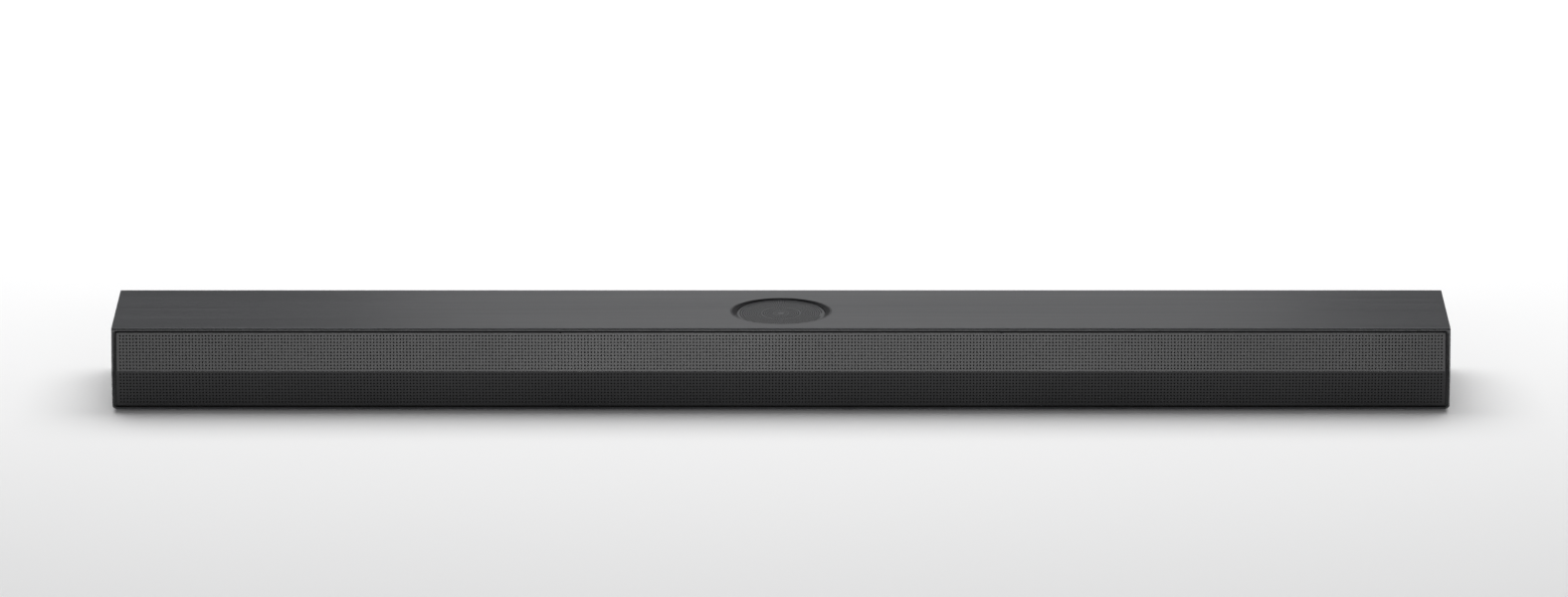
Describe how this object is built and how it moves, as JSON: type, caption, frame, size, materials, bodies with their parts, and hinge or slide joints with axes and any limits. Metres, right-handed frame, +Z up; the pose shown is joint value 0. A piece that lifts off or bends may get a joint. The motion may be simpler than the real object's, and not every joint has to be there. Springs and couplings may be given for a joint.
{
  "type": "soundbar",
  "caption": "Slim television soundbar with a creased perforated front, a brushed lid and a round upward-firing grille in the middle of the lid.",
  "frame": {"origin": "middle of the footprint, on the surface that the feet stand on", "axes": "+X along the bar to the listener's right, -Y towards the listener, +Z up"},
  "size_m": [0.975, 0.125, 0.063],
  "materials": {
    "case_black": "fine moulded texture",
    "top_metal": "dark hairline brushed",
    "frame_metal": "dark satin",
    "grille_steel": "powder-coated, perforated",
    "grille_fabric": "sound-open weave",
    "bezel_metal": "satin",
    "inner_plastic": "plain moulded",
    "panel_plastic": "fine spark texture",
    "foot_rubber": "dull",
    "brass_insert": "turned",
    "board_green": "solder-masked laminate",
    "component_dark": "moulded parts and sleeved cans",
    "sink_aluminium": "extruded",
    "socket_metal": "nickel-plated shell",
    "socket_plastic": "moulded",
    "screw_steel": "black oxide",
    "basket_steel": "painted pressing",
    "motor_steel": "zinc-plated",
    "cone_paper": "pressed pulp",
    "roll_rubber": "soft roll",
    "spider_cloth": "resin-treated cloth",
    "dome_fabric": "coated silk",
    "button_plastic": "satin"
  },
  "bodies": {
    "case": {"board_screws": "screw_steel", "bottom_case": "case_black", "button_board": "board_green", "case_screws": "screw_steel", "center_woofer_basket": "basket_steel", "center_woofer_motor": "motor_steel", "center_woofer_spider": "spider_cloth", "center_woofer_surround": "roll_rubber", "connector_panel": "panel_plastic", "display_board": "board_green", "driver_screws": "screw_steel", "front_baffle": "inner_plastic", "front_frame": "frame_metal", "front_grille": "grille_steel", "grille_carrier": "inner_plastic", "grille_cloth": "grille_fabric", "hdmi_sockets": "socket_metal", "heat_sink": "sink_aluminium", "left_speaker_box": "inner_plastic", "left_tweeter_motor": "motor_steel", "left_tweeter_plate": "panel_plastic", "left_woofer_basket": "basket_steel", "left_woofer_motor": "motor_steel", "left_woofer_spider": "spider_cloth", "left_woofer_surround": "roll_rubber", "main_board": "board_green", "mains_inlet": "socket_plastic", "optical_socket": "socket_plastic", "power_board": "board_green", "power_parts": "component_dark", "right_speaker_box": "inner_plastic", "right_tweeter_motor": "motor_steel", "right_tweeter_plate": "panel_plastic", "right_woofer_basket": "basket_steel", "right_woofer_motor": "motor_steel", "right_woofer_spider": "spider_cloth", "right_woofer_surround": "roll_rubber", "rubber_feet": "foot_rubber", "top_cover": "top_metal", "upfire_basket": "basket_steel", "upfire_bezel": "bezel_metal", "upfire_cloth": "grille_fabric", "upfire_grille": "grille_steel", "upfire_motor": "motor_steel", "upfire_spider": "spider_cloth", "upfire_surround": "roll_rubber", "usb_socket": "socket_metal", "wall_inserts": "brass_insert"},
    "left_woofer_diaphragm": {"left_woofer_cone": "cone_paper"},
    "center_woofer_diaphragm": {"center_woofer_cone": "cone_paper"},
    "right_woofer_diaphragm": {"right_woofer_cone": "cone_paper"},
    "upfire_diaphragm": {"upfire_cone": "cone_paper"},
    "left_tweeter_diaphragm": {"left_tweeter_dome": "dome_fabric"},
    "right_tweeter_diaphragm": {"right_tweeter_dome": "dome_fabric"},
    "power_button": {"button_power": "button_plastic"},
    "volume_up_button": {"button_volume_up": "button_plastic"},
    "volume_down_button": {"button_volume_down": "button_plastic"},
    "source_button": {"button_source": "button_plastic"}
  },
  "joints": [
    {"name": "left_woofer_travel", "type": "slide", "parent": "case", "child": "left_woofer_diaphragm", "axis": [0, -1, 0], "range_m": [-0.003, 0.003], "stiffness_N_per_m": 900, "deforming": ["left_woofer_surround", "left_woofer_spider"]},
    {"name": "center_woofer_travel", "type": "slide", "parent": "case", "child": "center_woofer_diaphragm", "axis": [0, -1, 0], "range_m": [-0.002, 0.002], "stiffness_N_per_m": 900, "deforming": ["center_woofer_surround", "center_woofer_spider"]},
    {"name": "right_woofer_travel", "type": "slide", "parent": "case", "child": "right_woofer_diaphragm", "axis": [0, -1, 0], "range_m": [-0.003, 0.003], "stiffness_N_per_m": 900, "deforming": ["right_woofer_surround", "right_woofer_spider"]},
    {"name": "upfire_travel", "type": "slide", "parent": "case", "child": "upfire_diaphragm", "axis": [0, -0.0436, 0.999], "range_m": [-0.002, 0.002], "stiffness_N_per_m": 900, "deforming": ["upfire_surround", "upfire_spider"]},
    {"name": "left_tweeter_travel", "type": "slide", "parent": "case", "child": "left_tweeter_diaphragm", "axis": [0, -1, 0], "range_m": [-0.0003, 0.0003], "stiffness_N_per_m": 900},
    {"name": "right_tweeter_travel", "type": "slide", "parent": "case", "child": "right_tweeter_diaphragm", "axis": [0, -1, 0], "range_m": [-0.0003, 0.0003], "stiffness_N_per_m": 900},
    {"name": "power_press", "type": "slide", "parent": "case", "child": "power_button", "axis": [-1, 0, 0], "range_m": [0, 0.0006], "stiffness_N_per_m": 900},
    {"name": "volume_up_press", "type": "slide", "parent": "case", "child": "volume_up_button", "axis": [-1, 0, 0], "range_m": [0, 0.0006], "stiffness_N_per_m": 900},
    {"name": "volume_down_press", "type": "slide", "parent": "case", "child": "volume_down_button", "axis": [-1, 0, 0], "range_m": [0, 0.0006], "stiffness_N_per_m": 900},
    {"name": "source_press", "type": "slide", "parent": "case", "child": "source_button", "axis": [-1, 0, 0], "range_m": [0, 0.0006], "stiffness_N_per_m": 900}
  ]
}
